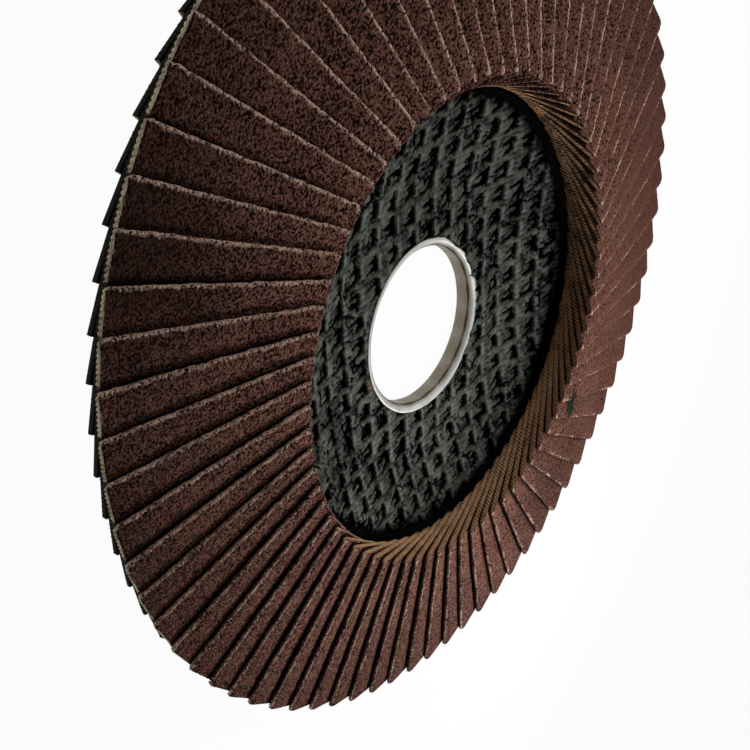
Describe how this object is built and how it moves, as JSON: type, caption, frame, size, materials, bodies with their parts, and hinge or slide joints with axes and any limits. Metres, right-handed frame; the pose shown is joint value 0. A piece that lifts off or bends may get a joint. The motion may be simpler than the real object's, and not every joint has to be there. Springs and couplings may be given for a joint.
{
  "type": "flap disc",
  "caption": "Flap disc for an angle grinder: overlapping flaps of grained abrasive cloth fanned round a dished glass-mesh backing plate with a steel bore ring.",
  "frame": {"origin": "centre of the bore at the back face of the hub, which the disc rests on", "axes": "+Z along the bore axis, from the grinder's side to the working face; +X and +Y along the threads of the glass mesh"},
  "size_m": [0.1184, 0.1184, 0.0117],
  "materials": {
    "resin_mesh": "black resin over woven glass mesh, slightly glossy on the threads",
    "ring_steel": "bright pressed steel, flared rim a little torn, one rust stain",
    "adhesive": "black cured adhesive",
    "abrasive_cloth": "red-brown aluminium oxide grain on tan woven cloth, cut edges tan and frayed"
  },
  "bodies": {
    "root": {"backing_plate": "resin_mesh", "arbor_ring": "ring_steel", "adhesive_bond": "adhesive", "flap_pair_01": "abrasive_cloth", "flap_pair_02": "abrasive_cloth", "flap_pair_03": "abrasive_cloth", "flap_pair_04": "abrasive_cloth", "flap_pair_05": "abrasive_cloth", "flap_pair_06": "abrasive_cloth", "flap_pair_07": "abrasive_cloth", "flap_pair_08": "abrasive_cloth", "flap_pair_09": "abrasive_cloth", "flap_pair_10": "abrasive_cloth", "flap_pair_11": "abrasive_cloth", "flap_pair_12": "abrasive_cloth", "flap_pair_13": "abrasive_cloth", "flap_pair_14": "abrasive_cloth", "flap_pair_15": "abrasive_cloth", "flap_pair_16": "abrasive_cloth", "flap_pair_17": "abrasive_cloth", "flap_pair_18": "abrasive_cloth", "flap_pair_19": "abrasive_cloth", "flap_pair_20": "abrasive_cloth", "flap_pair_21": "abrasive_cloth", "flap_pair_22": "abrasive_cloth", "flap_pair_23": "abrasive_cloth", "flap_pair_24": "abrasive_cloth", "flap_pair_25": "abrasive_cloth", "flap_pair_26": "abrasive_cloth", "flap_pair_27": "abrasive_cloth", "flap_pair_28": "abrasive_cloth", "flap_pair_29": "abrasive_cloth", "flap_pair_30": "abrasive_cloth", "flap_pair_31": "abrasive_cloth", "flap_pair_32": "abrasive_cloth", "flap_pair_33": "abrasive_cloth", "flap_pair_34": "abrasive_cloth", "flap_pair_35": "abrasive_cloth", "flap_pair_36": "abrasive_cloth"}
  },
  "joints": []
}
